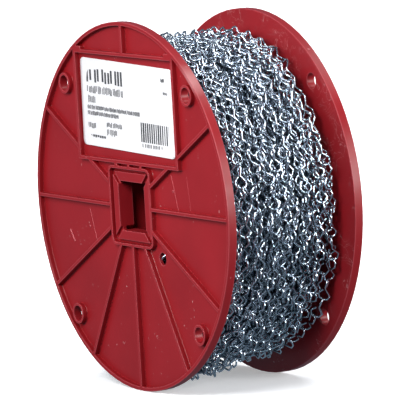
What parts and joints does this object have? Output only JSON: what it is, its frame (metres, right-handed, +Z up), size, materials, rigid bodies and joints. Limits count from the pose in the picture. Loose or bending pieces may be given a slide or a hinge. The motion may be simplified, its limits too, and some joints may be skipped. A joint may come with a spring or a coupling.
{
  "type": "reel of steel jack chain",
  "caption": "Plastic flanged reel wound full with zinc plated twisted wire jack chain; it stores the chain and pays it out from a square bar through its arbor hole.",
  "frame": {"origin": "on the floor the reel stands on, below the middle of its axis", "axes": "+Y along the reel's axis, from the labelled flange to the other; +Z up through the label; +X to the right seen from the labelled side"},
  "size_m": [0.2118, 0.089, 0.2119],
  "materials": {
    "reel_plastic": "moulded red plastic, satin, with light scuffs",
    "label_paper": "smooth white label paper",
    "chain_zinc": "bright zinc plated steel wire"
  },
  "bodies": {
    "root": {"front_flange": "reel_plastic", "back_flange": "reel_plastic", "label": "label_paper", "chain": "chain_zinc"}
  },
  "joints": []
}
